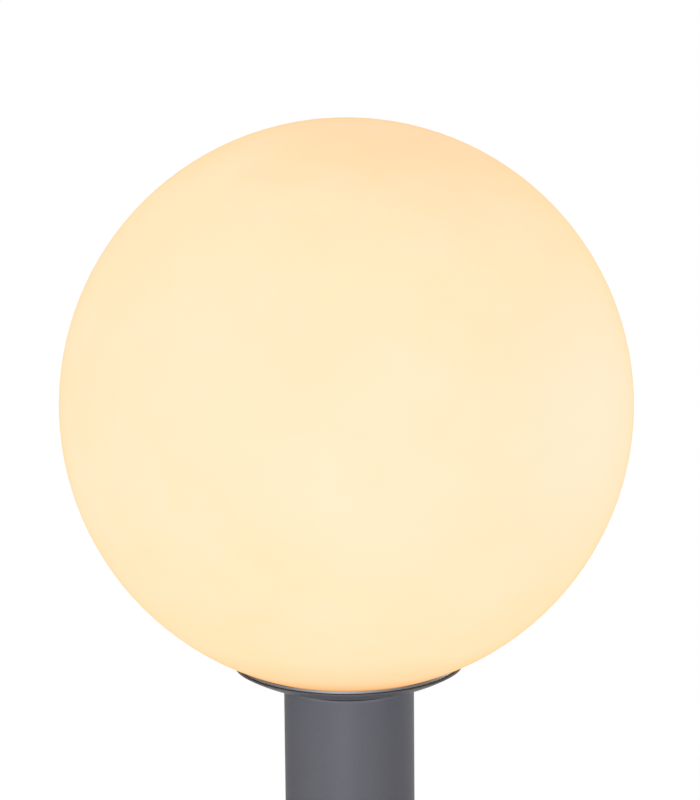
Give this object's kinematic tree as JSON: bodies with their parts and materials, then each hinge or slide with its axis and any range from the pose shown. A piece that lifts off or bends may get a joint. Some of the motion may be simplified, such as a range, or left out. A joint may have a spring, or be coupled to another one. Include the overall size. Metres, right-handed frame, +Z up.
{
  "type": "outdoor pedestal light",
  "caption": "Opal globe light on a shallow dish and a short round pole with a flanged base, for gardens and porches.",
  "frame": {"origin": "centre of the base's underside, on the ground", "axes": "+Z up along the pole, -Y towards the viewer of the picture"},
  "size_m": [0.26, 0.2598, 0.4408],
  "materials": {
    "opal": "opal acrylic, smooth and faintly mottled, lit from inside",
    "paint": "satin anthracite powder coat",
    "bright_aluminium": "turned and polished",
    "cast_aluminium": "cast, dull",
    "stainless": "stainless",
    "zinc_steel": "zinc plated",
    "rubber": "matte",
    "gland_plastic": "moulded, light grey",
    "terminal_plastic": "moulded, natural",
    "tinned_brass": "tinned",
    "contact_brass": "bright",
    "holder_plastic": "moulded, black",
    "ceramic_insert": "unglazed steatite",
    "black_glass": "glossy",
    "lamp_cap_metal": "drawn",
    "neck_plastic": "moulded, white",
    "lamp_plastic": "moulded, white",
    "board": "white solder mask",
    "lamp_diffuser": "frosted",
    "lead_brown": "insulation",
    "lead_blue": "insulation",
    "lead_green_yellow": "insulation"
  },
  "bodies": {
    "pedestal": {"base_pad": "rubber", "base_flange": "paint", "pole": "paint", "pole_grub_screws": "stainless", "gland_body": "gland_plastic", "gland_locknut": "gland_plastic", "gland_seal": "rubber", "gland_cap": "gland_plastic", "terminal_bracket": "zinc_steel", "bracket_screw": "zinc_steel", "terminal_block": "terminal_plastic", "terminal_screws": "zinc_steel", "earth_tag": "tinned_brass", "earth_screw": "zinc_steel", "lead_live": "lead_brown", "lead_neutral": "lead_blue", "lead_earth": "lead_green_yellow", "pole_top_plug": "cast_aluminium", "pole_top_seal": "rubber", "collar_dish": "paint", "seat_ring": "bright_aluminium", "threaded_gallery": "cast_aluminium", "gallery_screws": "stainless", "threaded_tube": "zinc_steel", "tube_lower_nut": "zinc_steel", "tube_upper_nut": "zinc_steel", "lock_washer": "zinc_steel", "holder_cap": "holder_plastic", "holder_shell": "holder_plastic", "holder_insert": "ceramic_insert", "holder_thread_shell": "contact_brass", "holder_centre_contact": "contact_brass"},
    "globe_gasket": {"globe_gasket": "rubber"},
    "globe": {"globe_neck": "neck_plastic", "globe": "opal"},
    "lamp": {"lamp_tip": "contact_brass", "lamp_insulator": "black_glass", "lamp_cap": "lamp_cap_metal", "lamp_body": "lamp_plastic", "lamp_led_board": "board", "lamp_dome": "lamp_diffuser"}
  },
  "joints": [
    {"name": "globe_turn", "type": "hinge", "parent": "pedestal", "child": "globe_gasket", "pos_m": [0, 0, 0.1864], "axis": [0, 0, 1], "range_deg": [0, 540]},
    {"name": "globe_lift", "type": "slide", "parent": "globe_gasket", "child": "globe", "axis": [0, 0, 1], "range_m": [0, 0.16]},
    {"name": "lamp_turn", "type": "hinge", "parent": "pedestal", "child": "lamp", "pos_m": [0, 0, 0.207], "axis": [0, 0, 1], "range_deg": [0, 1800]}
  ]
}
